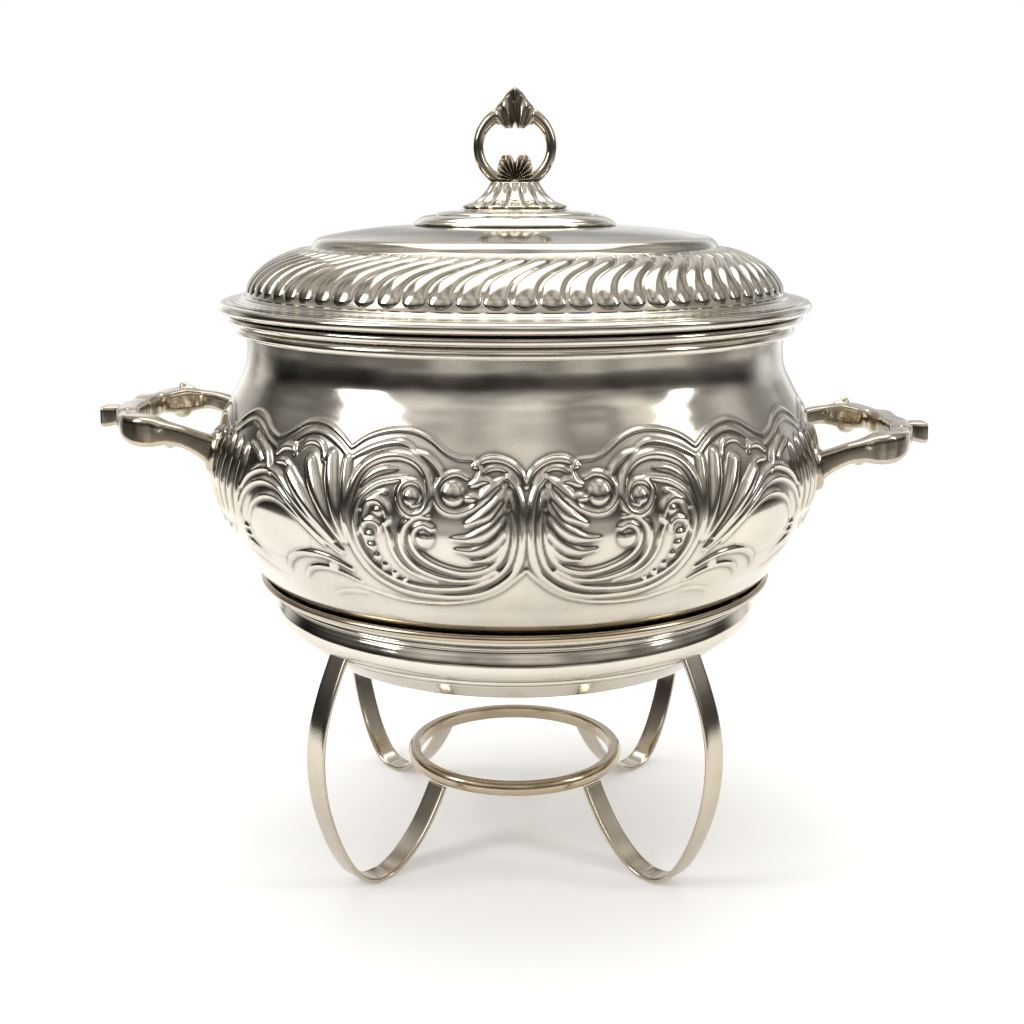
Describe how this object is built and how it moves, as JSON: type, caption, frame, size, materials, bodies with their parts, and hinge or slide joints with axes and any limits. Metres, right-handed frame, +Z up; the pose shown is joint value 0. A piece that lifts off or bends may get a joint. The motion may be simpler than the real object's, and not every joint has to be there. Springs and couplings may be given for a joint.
{
  "type": "soup tureen",
  "caption": "Round silver-plated soup tureen with a domed lid, ring finial and two cast loop handles, on a four-legged stand with a burner ring.",
  "frame": {"origin": "centre of the feet at table level, on the common axis of the stand, the pot and the lid", "axes": "+Z up, +X towards the right handle, -Y towards the front"},
  "size_m": [0.3538, 0.2584, 0.32],
  "materials": {
    "polished_silver": "polished silver plate with fine scratches",
    "worn_plate": "silver plate worn thin over brass",
    "dull_silver": "tarnished silver plate",
    "brass_hardware": "plain turned brass"
  },
  "bodies": {
    "stand": {"stand_collar": "polished_silver", "stand_rim_wire": "worn_plate", "burner_ring": "worn_plate", "leg_front_left": "worn_plate", "leg_front_right": "worn_plate", "leg_back_left": "worn_plate", "leg_back_right": "worn_plate"},
    "pot": {"pot_bowl": "polished_silver", "pot_rim": "polished_silver", "pot_foot_ring": "polished_silver", "handle_left": "polished_silver", "handle_right": "polished_silver", "handle_left_pads": "dull_silver", "handle_right_pads": "dull_silver"},
    "lid": {"lid_dome": "polished_silver", "lid_rim": "polished_silver", "lid_bezel": "polished_silver", "finial_plinth": "polished_silver", "finial_calyx": "polished_silver", "finial_ring": "dull_silver", "finial_leaf": "polished_silver", "finial_shell": "dull_silver", "finial_stud": "brass_hardware", "finial_washer": "brass_hardware", "finial_nut": "brass_hardware"}
  },
  "joints": [
    {"name": "pot_lift", "type": "slide", "parent": "stand", "child": "pot", "axis": [0, 0, 1], "range_m": [0, 0.06]},
    {"name": "lid_lift", "type": "slide", "parent": "pot", "child": "lid", "axis": [0, 0, 1], "range_m": [0, 0.08]}
  ]
}
